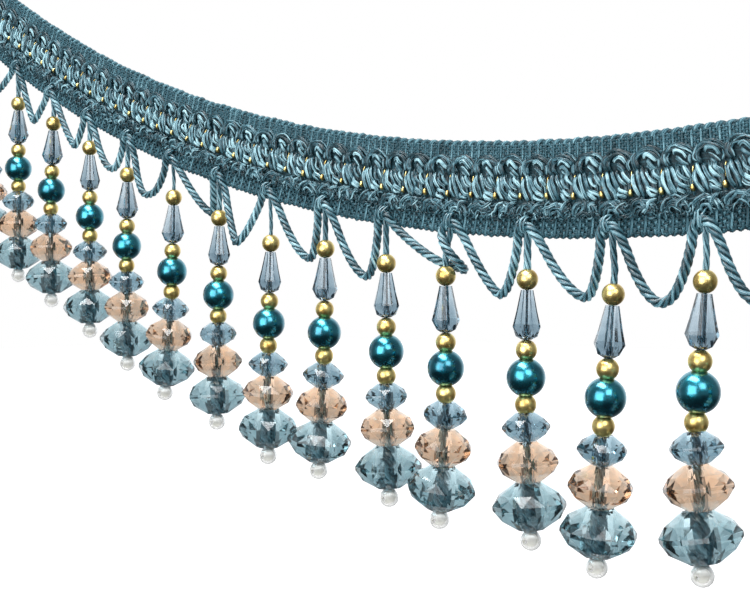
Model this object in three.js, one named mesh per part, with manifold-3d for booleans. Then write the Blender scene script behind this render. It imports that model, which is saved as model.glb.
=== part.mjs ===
// A beaded fringe trim hung in a swag: a woven braid with scroll rows and a centre plait on its front,
// and along its lower edge a twisted cord in loops, with a bead drop hanging at each end of every loop.
// Millimetres, +Z up. X runs along the trim, -Y is its front, and the origin is on the top edge at
// mid-length.

import * as THREE from "three";
import { mergeVertices } from "three/addons/utils/BufferGeometryUtils.js";
import Module from "manifold-3d";

const wasm = await Module();
wasm.setup();

// The braid
const dropCount = 15;
const dropPitch = 24.5;
const braidHeight = 23.5;
const braidThickness = 1.4;
const braidFront = -braidThickness / 2;
const clearance = 0.3;
const marginHeight = 4.2; // the lower strip of the braid, into which the cord and the threads are worked
const braidLength = dropCount * dropPitch;
const stretchesPerDrop = 2; // straight stretches of braid that stand in for the curve, per drop

// How it hangs: an arc of a circle seen from the front, and a shallow bow seen from above
const swagRadius = 530;
const bowRadius = 2100;
const middleDrop = (dropCount - 1) / 2;
const lowestDrop = 12.4; // where the lower edge is lowest, counted in drops from the far end
const lowestAlong = (lowestDrop - middleDrop) * dropPitch;

// The rows on the braid's front, from the bottom up: place, thickness and the shape of one repeat
const rowRepeat = dropPitch / 3;
const rows = [
  {
    name: "scroll_lower",
    bottom: 5.0,
    top: 8.3,
    crest: [0, 0.3, 0.2],
    thick: [0.8, 1.5, 1.2],
    colour: 0x4f7c8b,
  },
  {
    name: "centre_plait",
    bottom: 8.9,
    top: 14.7,
    crest: [0, 0, 0],
    thick: [0.6, 1.8, 1.3],
    colour: 0x7fb0c0,
  },
  {
    name: "scroll_upper",
    bottom: 15.1,
    top: 17.6,
    crest: [0, 1.1, 1.5],
    thick: [0.8, 1.4, 1.8],
    colour: 0x57889a,
  },
];

// The cord and the threads
const cordRadius = 1.5; // to the ridges
const cordLay = 16;
const stepsPerTurn = 9;
const yarnTolerance = 0.03; // how far the fused yarn may depart from its joined strands
const threadRadius = 1.0;
const threadSteps = 2;
const threadRoot = 1; // how far above the edge a thread begins
const archTop = 2.5; // the cord's highest point in front of the margin strip, at each drop
const archOut = 1.6;
const archShoulder = 0.55; // the height of the arch's shoulders, as a share of its top
const shoulderAlong = 0.75; // and how far out they are, as a share of the way to the roots
const archOverlap = 0.2; // how far two loops run into each other on top of an arch
const rootAlong = 3.2; // how far from the drop the cord leaves the edge
const rootOut = 1.2;
const loopStations = [-0.9, -0.65, -0.35, -0.12, 0, 0.12, 0.35, 0.65, 0.9]; // 0 is the lowest point

// One row for each loop of cord, from the far end: where its lowest point lies between its two drops, how
// far below the edge, how sharp its bend is (1 is a V, 3 a U), and how far it swings back (+) or forward (-)
const loops = [
  { at: 0.42, depth: 13.7, bend: 1.4, swing: -1.0 },
  { at: 0.46, depth: 14.7, bend: 1.3, swing: 0.0 },
  { at: 0.72, depth: 12.3, bend: 1.3, swing: -2.0 },
  { at: 0.64, depth: 12.7, bend: 2.0, swing: -1.0 },
  { at: 0.48, depth: 15.2, bend: 2.6, swing: -1.0 },
  { at: 0.65, depth: 13.1, bend: 1.5, swing: 4.9 },
  { at: 0.5, depth: 17.6, bend: 1.3, swing: -3.5 },
  { at: 0.67, depth: 16.1, bend: 1.9, swing: 1.5 },
  { at: 0.63, depth: 17.2, bend: 1.9, swing: 1.5 },
  null,
  { at: 0.61, depth: 16.3, bend: 1.4, swing: 1.0 },
  { at: 0.66, depth: 15.5, bend: 1.8, swing: 1.5 },
  { at: 0.55, depth: 16.5, bend: 2.0, swing: 0.0 },
  { at: 0.55, depth: 17.0, bend: 2.0, swing: 0.0 },
];

// The one loop that is caught round a drop's thread: its points from the drop at its near end
const caughtLoop = [
  { along: -21.0, back: -1.2, down: 0.6 },
  { along: -15.5, back: -0.4, down: 4.6 },
  { along: -8.2, back: 0.5, down: 8.4 },
  { along: -5.0, back: 2.2, down: 9.8 },
  { along: -2.4, back: 4.0, down: 10.4 },
  { along: 0.7, back: 3.6, down: 11.0 },
  { along: 2.4, back: 1.0, down: 10.0 },
  { along: 1.8, back: -1.6, down: 8.0 },
  { along: -1.0, back: -2.4, down: 4.8 },
  { along: -2.6, back: -1.7, down: 2.0 },
];

// One row for each drop, from the far end: free thread above it, how far its top is drawn aside,
// and how many degrees its upper and lower beads lean along the trim
const drops = [
  { thread: 9.0, aside: 0.0, upper: 0, lower: 0 },
  { thread: 9.8, aside: 0.0, upper: 0, lower: 0 },
  { thread: 7.3, aside: 0.6, upper: -3, lower: 1 },
  { thread: 7.6, aside: 0.0, upper: 0, lower: 0 },
  { thread: 9.4, aside: -1.2, upper: -1, lower: 1 },
  { thread: 9.3, aside: 0.6, upper: -2, lower: -6 },
  { thread: 9.7, aside: 0.0, upper: -1, lower: -1 },
  { thread: 11.9, aside: 0.4, upper: -2, lower: 0 },
  { thread: 8.9, aside: 0.0, upper: -1, lower: -4 },
  { thread: 9.3, aside: 0.0, upper: 0, lower: 2 },
  { thread: 10.1, aside: -2.6, upper: 0, lower: -4 },
  { thread: 8.9, aside: 0.0, upper: -1, lower: 3 },
  { thread: 11.7, aside: 1.0, upper: -5, lower: -3 },
  { thread: 9.0, aside: 0.5, upper: -4, lower: 3 },
  { thread: 10.0, aside: 0.0, upper: 0, lower: 0 },
];

// The beads: radius and distance below the top of the drop
const goldRadius = 2.85;
const pearlRadius = 5.0;
const teardrop = { neck: 1.7, widest: 3.8, foot: 1.3, top: 5.5, belly: 14.8, bottom: 18.0 };
const secondGold = 20.8;
const pearlCentre = 27.7;
const thirdGold = 34.6;
const smallRondelle = { centre: 40.3, radius: 6.05, half: 3.55, table: 2.4, girdle: 0.7 };
const peachRondelle = { centre: 49.2, radius: 7.9, half: 5.2, table: 3.0, girdle: 0.95 };
const largeRondelle = { centre: 60.2, radius: 9.3, half: 5.95, table: 3.4, girdle: 1.1 };
const stopper = { centre: 69.0, radius: 2.55 };
const beadSides = 8;
const beadGap = 0.4; // between the stacks of one drop
const tipRadius = 1.2; // of the flat where a stack begins or ends
const tipInset = 0.1; // from a drop's top to its first bead
const goldSeat = 2.2; // from a gold bead's centre to where it meets the pearl
const seatRadius = 1.7;
const teardropSeat = 1.5;

const glassGrey = 0x8ba6bd;
const pearlTeal = 0x0f6b7d;
const rondelleBlue = 0x5f97ab;

function distanceAlong(drop) {
  return (drop - middleDrop) * dropPitch;
}

// The angle at which the braid slopes at a distance along it from the middle.
function slopeAt(along) {
  return (along - lowestAlong) / swagRadius;
}

// A point of the trim laid out flat, carried onto the swag: back is behind the braid's middle plane and
// up is above the lower edge, square to it.
function onSwag(along, back, up) {
  const slope = slopeAt(along);
  const middleSlope = slopeAt(0);
  const topRadius = swagRadius - braidHeight;
  const radius = swagRadius - up;
  const across = radius * Math.sin(slope) - topRadius * Math.sin(middleSlope);
  const z = topRadius * Math.cos(middleSlope) - radius * Math.cos(slope);
  const turn = across / bowRadius;
  const x = (bowRadius + back) * Math.sin(turn);
  const y = (bowRadius + back) * Math.cos(turn) - bowRadius;
  return new THREE.Vector3(x, y, z);
}

// The same, hung straight down from the lower edge.
function belowEdge(along, back, down) {
  const point = onSwag(along, back, 0);
  point.z -= down;
  return point;
}

// Moves every corner of a shape to where a function puts it.
function reshape(geometry, place) {
  const position = geometry.getAttribute("position");
  for (let i = 0; i < position.count; i += 1) {
    const point = place(position.getX(i), position.getY(i), position.getZ(i));
    position.setXYZ(i, point.x, point.y, point.z);
  }
  return geometry;
}

// A shape with its shared corners joined, as a solid that can be joined to others.
function toSolid(geometry) {
  const bare = geometry.clone();
  bare.deleteAttribute("normal");
  bare.deleteAttribute("uv");
  const merged = mergeVertices(bare, 1e-4);
  const vertProperties = new Float32Array(merged.getAttribute("position").array);
  const triVerts = new Uint32Array(merged.getIndex().array);
  return new wasm.Manifold(new wasm.Mesh({ numProp: 3, vertProperties, triVerts }));
}

function fromSolid(solid) {
  const mesh = solid.getMesh();
  const geometry = new THREE.BufferGeometry();
  geometry.setAttribute("position", new THREE.BufferAttribute(mesh.vertProperties, 3));
  geometry.setIndex(new THREE.BufferAttribute(mesh.triVerts, 1));
  geometry.computeVertexNormals();
  return geometry;
}

// A flat band of the braid between two heights, bent onto the swag.
function braidBand(bottom, top) {
  const stretches = dropCount * stretchesPerDrop;
  const box = new THREE.BoxGeometry(braidLength, braidThickness, top - bottom, stretches, 1, 1);
  return reshape(box, (x, y, z) => onSwag(x, y, z + (bottom + top) / 2));
}

// A row worked on the braid's front: its top edge and its thickness rise and fall with each repeat.
function workedRow(row) {
  const columnsPerRepeat = row.crest.length;
  const columns = Math.round(braidLength / rowRepeat) * columnsPerRepeat;
  const backFace = braidFront - clearance;
  const box = new THREE.BoxGeometry(braidLength, 1, 1, columns, 1, 1);
  return reshape(box, (x, y, z) => {
    const column = Math.round(((x + braidLength / 2) * columns) / braidLength) % columnsPerRepeat;
    const up = z < 0 ? row.bottom : row.top + row.crest[column];
    const back = y > 0 ? backFace : backFace - row.thick[column];
    return onSwag(x, back, up);
  });
}

// A four-sided strand along a curve: a straight bar whose sections are turned and carried along the curve.
function strand(curve, radius, lay, steps) {
  const length = curve.getLength();
  const square = new THREE.Shape();
  for (let corner = 0; corner < 4; corner += 1) {
    const angle = (corner * Math.PI) / 2;
    const move = corner === 0 ? "moveTo" : "lineTo";
    square[move](radius * Math.cos(angle), radius * Math.sin(angle));
  }
  const bar = new THREE.ExtrudeGeometry(square, { depth: length, steps, bevelEnabled: false });
  const frames = curve.computeFrenetFrames(steps, false);
  return reshape(bar, (x, y, z) => {
    const step = Math.round((z / length) * steps);
    const twist = (-2 * Math.PI * z) / lay;
    const side = x * Math.cos(twist) - y * Math.sin(twist);
    const rise = x * Math.sin(twist) + y * Math.cos(twist);
    const point = curve.getPointAt(step / steps);
    point.addScaledVector(frames.normals[step], side);
    point.addScaledVector(frames.binormals[step], rise);
    return point;
  });
}

// The points of one loop between its two arches: down both arms as a power of the distance from the lowest
// point, which lies straight below its place on the edge.
function loopPoints(index) {
  const start = distanceAlong(index);
  if (!loops[index]) {
    const caughtAt = start + dropPitch;
    return caughtLoop.map((p) => belowEdge(caughtAt + p.along, p.back, p.down));
  }
  const { at, depth, bend, swing } = loops[index];
  const lowest = belowEdge(start + at * dropPitch, swing, depth);
  const left = belowEdge(start + rootAlong, -rootOut, 0);
  const right = belowEdge(start + dropPitch - rootAlong, -rootOut, 0);
  return loopStations.map((t) => {
    const root = t < 0 ? left : right;
    const out = Math.abs(t);
    const point = lowest.clone().lerp(root, out);
    point.z = lowest.z + (root.z - lowest.z) * out ** bend;
    return point;
  });
}

// The cord from the arch at one drop, down round the loop, to the arch at the next.
function cordLoop(index) {
  const start = distanceAlong(index);
  const end = start + dropPitch;
  const archBack = braidFront - archOut;
  const points = [
    onSwag(start - archOverlap, archBack, archTop),
    onSwag(start + rootAlong * shoulderAlong, archBack, archTop * archShoulder),
    ...loopPoints(index),
    onSwag(end - rootAlong * shoulderAlong, archBack, archTop * archShoulder),
    onSwag(end + archOverlap, archBack, archTop),
  ];
  const curve = new THREE.CatmullRomCurve3(points, false, "centripetal");
  curve.arcLengthDivisions = 400;
  const steps = Math.round((curve.getLength() / cordLay) * stepsPerTurn);
  return strand(curve, cordRadius, cordLay, steps);
}

// The free thread above a drop, from inside the margin strip to just above the first bead.
function dropThread(index) {
  const along = distanceAlong(index);
  const { thread, aside } = drops[index];
  const top = onSwag(along, 0, threadRoot);
  const bottom = belowEdge(along + aside, 0, thread - clearance);
  return strand(new THREE.LineCurve3(top, bottom), threadRadius, cordLay, threadSteps);
}

// The margin strip with the looped cord and the drop threads, one fused piece of yarn.
function fringe() {
  let solid = toSolid(braidBand(0, marginHeight));
  for (let index = 0; index < dropCount - 1; index += 1) {
    solid = solid.add(toSolid(cordLoop(index)));
  }
  for (let index = 0; index < dropCount; index += 1) {
    solid = solid.add(toSolid(dropThread(index)));
  }
  return fromSolid(solid.simplify(yarnTolerance));
}

// A stack of beads turned about its thread. Each profile point is a radius and a distance below the top.
function beadStack(profile, top) {
  const points = profile.map(([radius, below]) => new THREE.Vector2(radius, -(below - top)));
  points.reverse();
  return new THREE.LatheGeometry(points, beadSides);
}

// A pearl in three rings: its middle, and a ring on its sphere at 46 degrees above and below.
function roundBead(centre, radius) {
  const angle = THREE.MathUtils.degToRad(46);
  const shoulder = radius * Math.cos(angle);
  const rise = radius * Math.sin(angle);
  return [
    [shoulder, centre - rise],
    [radius, centre],
    [shoulder, centre + rise],
  ];
}

// A gold bead in two rings on its sphere, at 24 degrees above and below its middle, between two necks.
function goldBead(centre, neckAbove, neckBelow) {
  const angle = THREE.MathUtils.degToRad(24);
  const ring = goldRadius * Math.cos(angle);
  const rise = goldRadius * Math.sin(angle);
  return [neckAbove, [ring, centre - rise], [ring, centre + rise], neckBelow];
}

function rondelle({ centre, radius, half, table, girdle }) {
  return [
    [table, centre - half],
    [radius, centre - girdle],
    [radius, centre + girdle],
    [table, centre + half],
  ];
}

const shaftEnd = teardrop.bottom - beadGap / 2;
const pearlStart = shaftEnd + beadGap;
const pearlEnd = smallRondelle.centre - smallRondelle.half - beadGap;
const rondelleStart = smallRondelle.centre - smallRondelle.half;
const stopperTop = stopper.centre - stopper.radius;

// The first gold bead and the cut teardrop under it.
function shaftStack() {
  const profile = [
    [0, tipInset],
    ...goldBead(goldRadius, [tipRadius, tipInset], [teardropSeat, teardrop.top]),
    [teardrop.neck, teardrop.top + clearance],
    [teardrop.widest, teardrop.belly],
    [teardrop.foot, shaftEnd],
    [0, shaftEnd],
  ];
  return beadStack(profile, 0);
}

// The pearl between its two gold beads.
function pearlStack() {
  const profile = [
    [0, pearlStart],
    ...goldBead(secondGold, [tipRadius, pearlStart], [seatRadius, secondGold + goldSeat]),
    ...roundBead(pearlCentre, pearlRadius),
    ...goldBead(thirdGold, [seatRadius, thirdGold - goldSeat], [tipRadius, pearlEnd]),
    [0, pearlEnd],
  ];
  return beadStack(profile, pearlStart);
}

// The three cut rondelles and the clear stopper under them.
function rondelleStack() {
  const profile = [
    [0, rondelleStart],
    ...rondelle(smallRondelle),
    ...rondelle(peachRondelle),
    ...rondelle(largeRondelle),
    [tipRadius, stopperTop + beadGap / 2],
    [stopper.radius, stopper.centre],
    [tipRadius, stopper.centre + stopper.radius],
    [0, stopper.centre + stopper.radius],
  ];
  return beadStack(profile, rondelleStart);
}

function yarn(colour) {
  return new THREE.MeshStandardMaterial({ color: colour, roughness: 0.75, metalness: 0 });
}

function glass(colour) {
  return new THREE.MeshStandardMaterial({ color: colour, roughness: 0.15, metalness: 0 });
}

function pearl() {
  return new THREE.MeshStandardMaterial({ color: pearlTeal, roughness: 0.15, metalness: 0.3 });
}

function named(name, geometry, material) {
  const mesh = new THREE.Mesh(geometry, material);
  mesh.name = name;
  return mesh;
}

// One drop: its upper beads lean together, and its rondelles hang from them with a lean of their own.
// A lathe turns about Y, so each stack is stood up with its axis along Z.
function beadDrop(index) {
  const { thread, aside, upper, lower } = drops[index];
  const label = String(index).padStart(2, "0");
  const along = distanceAlong(index) + aside;
  const heading = -onSwag(along, 0, 0).x / bowRadius;
  const upperLean = THREE.MathUtils.degToRad(upper);
  const lowerLean = THREE.MathUtils.degToRad(lower);
  const hanger = new THREE.Group();
  hanger.position.copy(belowEdge(along, 0, thread));
  hanger.rotation.z = heading;

  const stacks = [
    { part: "teardrop", geometry: shaftStack(), top: 0, lean: upperLean, finish: glass(glassGrey) },
    { part: "pearl", geometry: pearlStack(), top: pearlStart, lean: upperLean, finish: pearl() },
    {
      part: "rondelles",
      geometry: rondelleStack(),
      top: rondelleStart,
      lean: lowerLean,
      finish: glass(rondelleBlue),
    },
  ];
  for (const { part, geometry, top, lean, finish } of stacks) {
    const stack = named(`drop_${label}_${part}`, geometry, finish);
    stack.rotation.x = Math.PI / 2;
    const tilt = new THREE.Group();
    tilt.position.set(top * Math.sin(upperLean), 0, -top * Math.cos(upperLean));
    tilt.rotation.y = -lean;
    tilt.add(stack);
    hanger.add(tilt);
  }
  return hanger;
}

const trim = new THREE.Group();
trim.name = "beaded_fringe_trim";
trim.add(named("braid", braidBand(marginHeight + clearance, braidHeight), yarn(0x466f7e)));
for (const row of rows) {
  trim.add(named(row.name, workedRow(row), yarn(row.colour)));
}
trim.add(named("fringe", fringe(), yarn(0x5b8da0)));
for (let index = 0; index < dropCount; index += 1) {
  trim.add(beadDrop(index));
}

export default trim;
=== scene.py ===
# A beaded fringe trim hung in a swag: braid with worked rows, looped cord and bead drops.
import math

import bpy
import numpy as np
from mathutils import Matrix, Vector


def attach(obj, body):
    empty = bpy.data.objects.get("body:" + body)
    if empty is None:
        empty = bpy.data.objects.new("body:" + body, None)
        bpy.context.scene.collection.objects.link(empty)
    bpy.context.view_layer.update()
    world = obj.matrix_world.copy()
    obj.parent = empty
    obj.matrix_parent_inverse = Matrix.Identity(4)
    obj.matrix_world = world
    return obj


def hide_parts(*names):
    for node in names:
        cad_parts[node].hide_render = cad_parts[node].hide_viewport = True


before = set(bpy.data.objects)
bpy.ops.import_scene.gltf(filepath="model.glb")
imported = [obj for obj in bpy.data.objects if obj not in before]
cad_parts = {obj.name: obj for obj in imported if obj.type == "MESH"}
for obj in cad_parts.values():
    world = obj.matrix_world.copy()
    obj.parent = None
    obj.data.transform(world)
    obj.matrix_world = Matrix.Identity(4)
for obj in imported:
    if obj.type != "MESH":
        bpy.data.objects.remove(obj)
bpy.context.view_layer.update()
randomDraw = np.random.default_rng(51)
metre = 0.001  # lengths below are in millimetres and become metres when a mesh is made
print("stage: frame loaded, CAD nodes:", len(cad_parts))

# How the trim hangs, in millimetres
swag = {
    "drops": 15,
    "pitch": 24.5,
    "height": 23.5,
    "swagRadius": 530.0,
    "bowRadius": 2100.0,
    "middleDrop": 7.0,
    "lowestDrop": 12.4,
}
trimLength = swag["drops"] * swag["pitch"]
trimStart = -trimLength / 2
rowRepeat = swag["pitch"] / 3
repeats = swag["drops"] * 3
lowestAlong = (swag["lowestDrop"] - swag["middleDrop"]) * swag["pitch"]
dropNumbers = np.arange(swag["drops"])
dropAlong = (dropNumbers - swag["middleDrop"]) * swag["pitch"]


# Flat cloth carried onto the swag: an arc of a circle seen from the front, then a shallow bow seen from
# above. back is behind the braid's middle plane, up is above its lower edge and square to it.
def onSwag(along, back, up):
    along, back, up = np.broadcast_arrays(*np.atleast_1d(along, back, up))
    slope = (along - lowestAlong) / swag["swagRadius"]
    middleSlope = -lowestAlong / swag["swagRadius"]
    topRadius = swag["swagRadius"] - swag["height"]
    radius = swag["swagRadius"] - up
    across = radius * np.sin(slope) - topRadius * math.sin(middleSlope)
    z = topRadius * math.cos(middleSlope) - radius * np.cos(slope)
    turn = across / swag["bowRadius"]
    x = (swag["bowRadius"] + back) * np.sin(turn)
    y = (swag["bowRadius"] + back) * np.cos(turn) - swag["bowRadius"]
    return np.stack([x, y, z], -1)


# A point that hangs straight down from the lower edge.
def belowEdge(along, back, down):
    point = onSwag(along, back, 0.0)
    point[..., 2] -= down
    return point


def unit(vectors):
    return vectors / np.maximum(np.linalg.norm(vectors, axis=-1, keepdims=True), 1e-12)


# A smooth line through points (a centripetal Catmull-Rom spline), cut into equal lengths. Each stretch is a
# cubic whose end slopes come from the neighbours, weighted by the square root of their distances.
def smoothLine(points, count, fine=24):
    points = np.asarray(points, float)
    first = 2 * points[..., :1, :] - points[..., 1:2, :]
    last = 2 * points[..., -1:, :] - points[..., -2:-1, :]
    padded = np.concatenate([first, points, last], -2)
    p0, p1, p2, p3 = (padded[..., i : i + points.shape[-2] - 1, :] for i in range(4))
    stretches = ((p0, p1), (p1, p2), (p2, p3))
    g0, g1, g2 = (np.sqrt(np.linalg.norm(b - a, axis=-1, keepdims=True)) for a, b in stretches)
    startSlope = ((p1 - p0) / g0 - (p2 - p0) / (g0 + g1) + (p2 - p1) / g1) * g1
    endSlope = ((p2 - p1) / g1 - (p3 - p1) / (g1 + g2) + (p3 - p2) / g2) * g1
    t = np.linspace(0, 1, fine, endpoint=False)[:, None]
    p1, p2, startSlope, endSlope = (a[..., :, None, :] for a in (p1, p2, startSlope, endSlope))
    curve = (
        p1
        + startSlope * t
        + (3 * (p2 - p1) - 2 * startSlope - endSlope) * t**2
        + (2 * (p1 - p2) + startSlope + endSlope) * t**3
    )
    curve = curve.reshape(*curve.shape[:-3], -1, 3)
    curve = np.concatenate([curve, points[..., -1:, :]], -2)
    return evenly(curve, count)


def runningSum(steps):
    return np.concatenate([np.zeros_like(steps[..., :1]), np.cumsum(steps, -1)], -1)


def runAlong(lines):
    return runningSum(np.linalg.norm(np.diff(lines, axis=-2), axis=-1))


# The same line with its points at equal distances along it.
def evenly(line, count):
    flat = line.reshape(-1, line.shape[-2], 3)
    made = np.empty((len(flat), count, 3))
    for i, one in enumerate(flat):
        run = runAlong(one)
        at = np.linspace(0, run[-1], count)
        made[i] = np.stack([np.interp(at, run, one[:, k]) for k in range(3)], -1)
    return made.reshape(*line.shape[:-2], count, 3)


# The directions across a line: side is square to the tangent and to a reference, rise square to both.
def across(lines, reference):
    tangent = unit(np.gradient(lines, axis=-2))
    side = unit(np.cross(tangent, reference))
    return side, np.cross(tangent, side)


def evenAngles(count):
    return np.linspace(0, 2 * math.pi, count, endpoint=False)


# Yarn tubes along many lines at once: line + radius * (cos(angle) * side + sin(angle) * rise). uv counts
# millimetres around and along the yarn.
def tubes(lines, radius, sides, reference=(0.0, 1.0, 0.0), tone=0.5):
    lines = lines.reshape(-1, *lines.shape[-2:])
    side, rise = across(lines, np.asarray(reference, float))
    radius = np.broadcast_to(radius, lines.shape[:-1])[..., None, None]
    angle = evenAngles(sides)[None, None, :, None]
    around = np.cos(angle) * side[:, :, None] + np.sin(angle) * rise[:, :, None]
    points = lines[:, :, None] + radius * around
    u = np.linspace(0, 1, sides + 1)[None, None, :] * 2 * math.pi * radius[..., 0]
    v = np.broadcast_to(runAlong(lines)[:, :, None], u.shape)
    return {"points": points, "uv": np.stack([u, v], -1), "tone": tone}


# A yarn tapers to a rounded tip over its first and last rings.
def tipped(radius, rings, tip=(0.45, 0.85)):
    shape = np.ones(rings)
    shape[: len(tip)] = tip
    shape[-len(tip) :] = tip[::-1]
    return np.asarray(radius)[..., None] * shape


# A cord of several plies: each ply's centre is line + reach * (cos(phase) * side + sin(phase) * rise), where
# phase is -2 pi * distance / lay, less the turn that the frame itself makes, kept as a running sum. The tone
# falls off from the cord's outside, where it is tone, by the groove shade for each radius of a ply towards
# the
# axis: painted shade that darkens the grooves between the plies and towards the cord's middle.
def plies(line, starts, lay, reach, radius, sides, reference=(0.0, 1.0, 0.0), tone=0.5, paintedGrooveShade=0.0):
    line = line.reshape(-1, *line.shape[-2:])
    side, rise = across(line, np.asarray(reference, float))
    turned = runningSum(np.sum(np.diff(side, axis=-2) * (rise[:, 1:] + rise[:, :-1]) / 2, -1))
    phase = -2 * math.pi * runAlong(line) / lay - turned
    phase = phase[:, None, :, None] + np.asarray(starts)[None, :, None, None]
    reach = np.broadcast_to(reach, line.shape[:-1])[:, None, :, None]
    radius = np.broadcast_to(radius, line.shape[:-1])[:, None, :]
    centres = line[:, None] + reach * (np.cos(phase) * side[:, None] + np.sin(phase) * rise[:, None])
    radius = np.broadcast_to(radius, centres.shape[:-1])
    made = tubes(centres, radius.reshape(-1, radius.shape[-1]), sides, reference)
    axis = np.repeat(line, len(starts), 0)[:, :, None]
    reach = np.broadcast_to(reach[..., 0], radius.shape)
    shape = (*made["points"].shape[:2], 1)
    outward = np.linalg.norm(made["points"] - axis, axis=-1) - (reach + radius).reshape(shape)
    tone = np.tile(np.broadcast_to(tone, len(starts)), len(line))[:, None, None]
    # painted shade: the tone drops towards the cord's axis, so the grooves between plies are dark
    made["tone"] = tone + paintedGrooveShade * outward / radius.reshape(shape)
    return made


# Corner numbers of the faces of a grid of points (copies, rows, columns). The columns, and closed rows, come
# back to their first line. Cut faces are triangles, and the others have four corners.
def gridFaces(shape, closedRows, cut):
    index = np.arange(np.prod(shape)).reshape(shape)
    if closedRows:
        index = np.concatenate([index, index[:, :1]], 1)
    index = np.concatenate([index, index[:, :, :1]], 2)
    a, b = index[:, :-1, :-1], index[:, :-1, 1:]
    c, d = index[:, 1:, 1:], index[:, 1:, :-1]
    if cut:
        halves = (np.stack([a, b, d], -1), np.stack([b, c, d], -1))
        return np.concatenate([half.reshape(-1, 3) for half in halves])
    return np.stack([a, b, c, d], -1).reshape(-1, 4)


def addObject(name, data):
    made = bpy.data.objects.new(name, data)
    bpy.context.scene.collection.objects.link(made)
    return made


# Joins grids of points into one mesh, in metres, with its uv in millimetres and a tone for each corner. Rows
# that don't close get a cap at both ends, and cut facets are shaded flat.
def addPiece(name, grids, material, closedRows=False, cut=False):
    vertices, faces, uvs, tones, base = [], [], [], [], 0
    for grid in grids:
        points = grid["points"]
        shape = points.shape[:3]
        quads = gridFaces(shape, closedRows, cut) + base
        faces.extend(quads.tolist())
        if "uv" in grid:
            uv = grid["uv"]
            corners = [uv[:, :-1, :-1], uv[:, :-1, 1:], uv[:, 1:, 1:], uv[:, 1:, :-1]]
            uvs.append(np.stack(corners, 3).reshape(-1, 2))
        else:
            uvs.append(np.zeros((quads.size, 2)))
        if not closedRows:
            index = np.arange(np.prod(shape)).reshape(shape) + base
            faces.extend(index[:, 0, ::-1].tolist() + index[:, -1].tolist())
            uvs.append(np.zeros((2 * shape[0] * shape[2], 2)))
        tone = np.asarray(grid.get("tone", 0.5), float)
        tone = tone.reshape(tone.shape + (1,) * (3 - tone.ndim))
        tones.append(np.broadcast_to(tone, shape).reshape(-1))
        vertices.append(points.reshape(-1, 3) * metre)
        base += int(np.prod(shape))
    mesh = bpy.data.meshes.new(name)
    mesh.from_pydata(np.concatenate(vertices), [], faces)
    uvLayer = mesh.uv_layers.new(name="yarn")
    uvLayer.uv.foreach_set("vector", np.concatenate(uvs).astype(np.float32).ravel())
    toneLayer = mesh.attributes.new("tone", "FLOAT", "POINT")
    toneLayer.data.foreach_set("value", np.concatenate(tones).astype(np.float32))
    if cut:
        mesh.shade_flat()
    else:
        mesh.shade_smooth()
    mesh.materials.append(material)
    piece = addObject(name, mesh)
    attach(piece, "root")
    return piece


# Materials

def newMaterial(name):
    material = bpy.data.materials.new(name)
    material.use_nodes = True
    tree = material.node_tree
    return material, tree, tree.nodes["Principled BSDF"]


def setSockets(node, values):
    for socket, value in values.items():
        node.inputs[socket].default_value = value


def addNode(tree, kind, settings=None, **values):
    made = tree.nodes.new(kind)
    for key, value in (settings or {}).items():
        setattr(made, key, value)
    setSockets(made, values)
    return made


# The surface colour goes through the stops, each (position, colour), as the factor grows
def colourBy(tree, shader, factor, stops):
    made = tree.nodes.new("ShaderNodeValToRGB")
    elements = made.color_ramp.elements
    while len(elements) < len(stops):
        elements.new(0.5)
    for element, (place, colour) in zip(elements, stops):
        element.position = place
        element.color = (*colour, 1)
    tree.links.new(factor, made.inputs["Fac"])
    tree.links.new(made.outputs["Color"], shader.inputs["Base Color"])


# Screen values from 0 to 255 made linear
def sameColour(red, green, blue):
    screen = np.array([red, green, blue]) / 255
    return tuple(np.where(screen < 0.04045, screen / 12.92, ((screen + 0.055) / 1.055) ** 2.4))


def objectNoise(tree, scale, detail):
    place = addNode(tree, "ShaderNodeTexCoord")
    noise = addNode(tree, "ShaderNodeTexNoise", Scale=scale, Detail=detail)
    tree.links.new(place.outputs["Object"], noise.inputs["Vector"])
    return noise


# A socket's value carried from one range to another
def carried(tree, value, source, target, course="LINEAR"):
    made = addNode(tree, "ShaderNodeMapRange", {"interpolation_type": course})
    setSockets(made, dict(zip(("From Min", "From Max", "To Min", "To Max"), (*source, *target))))
    tree.links.new(value, made.inputs["Value"])
    return made.outputs["Result"]


def roughBy(tree, shader, texture, limits):
    tree.links.new(carried(tree, texture.outputs["Fac"], (0, 1), limits), shader.inputs["Roughness"])


def bumpBy(tree, shader, texture, strength):
    bump = addNode(tree, "ShaderNodeBump", Strength=strength, Distance=0.0002)
    tree.links.new(texture.outputs["Fac"], bump.inputs["Height"])
    tree.links.new(bump.outputs["Normal"], shader.inputs["Normal"])


# a * share + b for the values of two sockets
def addShare(tree, a, share, b):
    made = addNode(tree, "ShaderNodeMath", {"operation": "MULTIPLY_ADD"})
    made.inputs[1].default_value = share
    tree.links.new(a, made.inputs[0])
    tree.links.new(b, made.inputs[2])
    return made.outputs["Value"]


# The last stop is a painted highlight: the brightest filaments and strands turn to its pale colour
toneStops = {"dark": 0.0, "mid": 0.45, "light": 0.8, "paintedHighlight": 1.0}


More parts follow.
